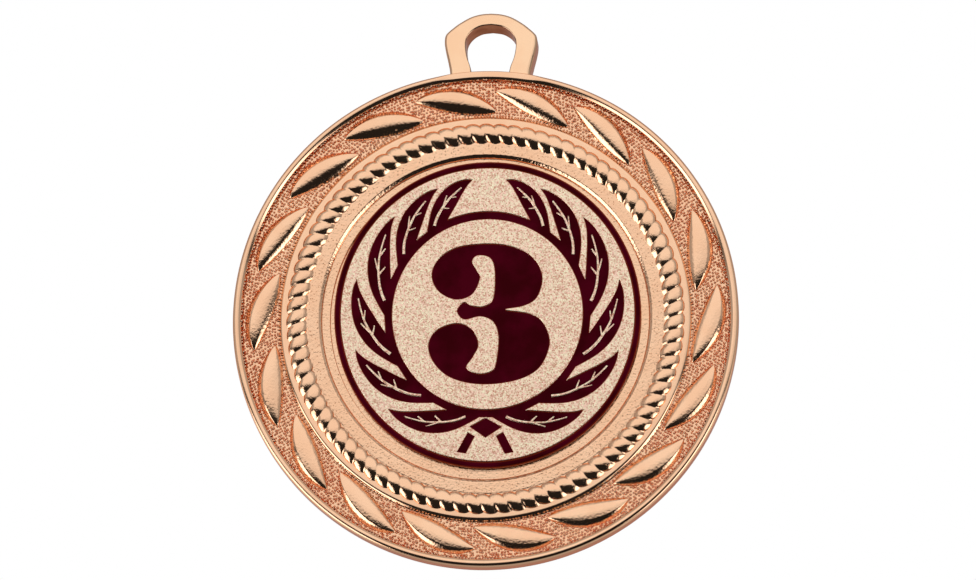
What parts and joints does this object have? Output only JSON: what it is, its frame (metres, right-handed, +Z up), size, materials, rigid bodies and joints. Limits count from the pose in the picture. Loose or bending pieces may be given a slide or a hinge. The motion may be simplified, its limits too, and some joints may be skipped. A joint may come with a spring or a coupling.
{
  "type": "medal",
  "caption": "Round bronze-plated award medal with a leaf border, a rope ring, an integral ribbon eyelet and a stick-on numbered emblem.",
  "frame": {"origin": "centre of the eyelet's hole, in the middle of the medal's thickness", "axes": "+Z is up when the medal hangs from its ribbon, the front faces -Y and the back faces +Y, +X is to the viewer's right"},
  "size_m": [0.04, 0.003, 0.0447],
  "materials": {
    "bronze_plating": "polished bronze electroplate over a die-cast zinc alloy, darker and pebbled in the ground of the border",
    "stamped_gold_plate": "thin stamped aluminium, anodised pale gold, with a fine frosted sparkle",
    "burgundy_lacquer": "glossy dark burgundy lacquer with softly rounded edges",
    "foam_adhesive": "thin double-sided adhesive pad"
  },
  "bodies": {
    "root": {"medal_casting": "bronze_plating", "emblem_adhesive": "foam_adhesive", "emblem_disc": "stamped_gold_plate", "enamel_border_ring": "burgundy_lacquer", "enamel_wreath": "burgundy_lacquer", "enamel_numeral": "burgundy_lacquer", "enamel_knot": "burgundy_lacquer", "enamel_stem_left": "burgundy_lacquer", "enamel_stem_right": "burgundy_lacquer"}
  },
  "joints": []
}
